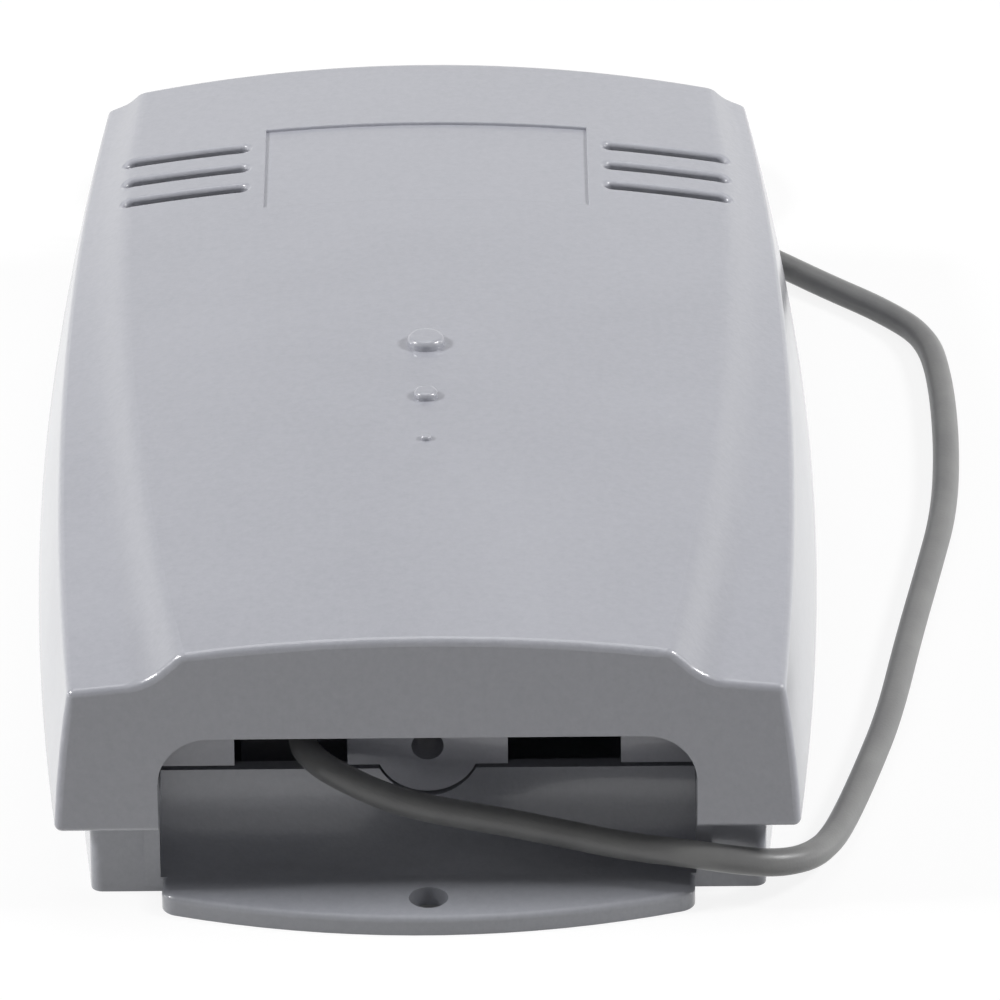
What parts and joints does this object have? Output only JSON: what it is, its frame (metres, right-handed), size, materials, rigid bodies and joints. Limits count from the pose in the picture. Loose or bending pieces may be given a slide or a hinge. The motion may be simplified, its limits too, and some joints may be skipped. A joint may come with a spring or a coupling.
{
  "type": "radio receiver",
  "caption": "Flat radio receiver box for remote controls, with a hinged vented cover, screw-down base, relay board and a thin signal cable.",
  "frame": {"origin": "centre of the housing's footprint, in the plane of the base's flat back", "axes": "+X across the housing to the right, +Y from the cable end to the hinge end, +Z out of the wall"},
  "size_m": [0.1246, 0.2131, 0.0392],
  "materials": {
    "housing_cover": "fine matte grain",
    "housing_base": "fine matte grain",
    "cable_sheath": "satin",
    "core_sleeve": "satin",
    "tinned_wire": "tinned",
    "tie_plastic": "satin",
    "screw_steel": "zinc plated",
    "board": "lacquered",
    "terminal_plastic": "satin",
    "clamp_brass": "nickel plated",
    "relay_case": "satin",
    "can_sleeve": "shrunk sleeve",
    "chip_plastic": "matte",
    "disc_coating": "dipped",
    "socket_plastic": "matte",
    "can_metal": "satin",
    "resistor_body": "lacquered",
    "lamp_lens": "clear red",
    "switch_metal": "satin",
    "jumper_plastic": "satin",
    "ferrite": "sintered",
    "wire_sleeve": "satin"
  },
  "bodies": {
    "base": {"base": "housing_base", "circuit_board": "board", "board_screws": "screw_steel", "cable_clamp": "housing_base", "clamp_screws": "screw_steel", "terminal_block": "terminal_plastic", "terminal_clamps": "clamp_brass", "terminal_screws": "screw_steel", "relay_1": "relay_case", "relay_2": "relay_case", "filter_capacitor": "can_sleeve", "output_capacitor": "can_sleeve", "voltage_regulator": "chip_plastic", "rectifier_diodes": "chip_plastic", "surge_disc": "disc_coating", "chip_socket": "socket_plastic", "control_chip": "chip_plastic", "memory_socket": "socket_plastic", "memory_chip": "chip_plastic", "crystal": "can_metal", "resistors": "resistor_body", "status_led": "lamp_lens", "button_1_case": "switch_metal", "button_1_dome": "switch_metal", "button_2_case": "switch_metal", "button_2_dome": "switch_metal", "jumper_header": "socket_plastic", "jumper_cap": "jumper_plastic", "radio_card": "board", "radio_shield": "can_metal", "tuning_can": "can_metal", "tuning_core": "ferrite", "aerial_wire": "wire_sleeve", "lead_inner_cores": "core_sleeve", "lead_cable": "cable_sheath", "lead_hank": "cable_sheath", "hank_tie": "tie_plastic", "lead_end_cores": "core_sleeve", "lead_end_wires": "tinned_wire"},
    "cover": {"cover": "housing_cover"},
    "cover_screw": {"cover_screw": "screw_steel"},
    "button_1": {"button_1_plunger": "socket_plastic"},
    "button_2": {"button_2_plunger": "socket_plastic"}
  },
  "joints": [
    {"name": "cover_hinge", "type": "hinge", "parent": "base", "child": "cover", "pos_m": [0, 0.0844, 0.013], "axis": [-1, 0, 0], "range_deg": [0, 35]},
    {"name": "cover_screw_drive", "type": "slide", "parent": "cover", "child": "cover_screw", "axis": [0, 1, 0], "range_m": [0, 0.0053]},
    {"name": "button_1_press", "type": "slide", "parent": "base", "child": "button_1", "axis": [0, 0, -1], "range_m": [0, 0.00025], "stiffness_N_per_m": 4000, "springref_m": -0.0002, "deforming": ["button_1_dome"]},
    {"name": "button_2_press", "type": "slide", "parent": "base", "child": "button_2", "axis": [0, 0, -1], "range_m": [0, 0.00025], "stiffness_N_per_m": 4000, "springref_m": -0.0002, "deforming": ["button_2_dome"]}
  ]
}
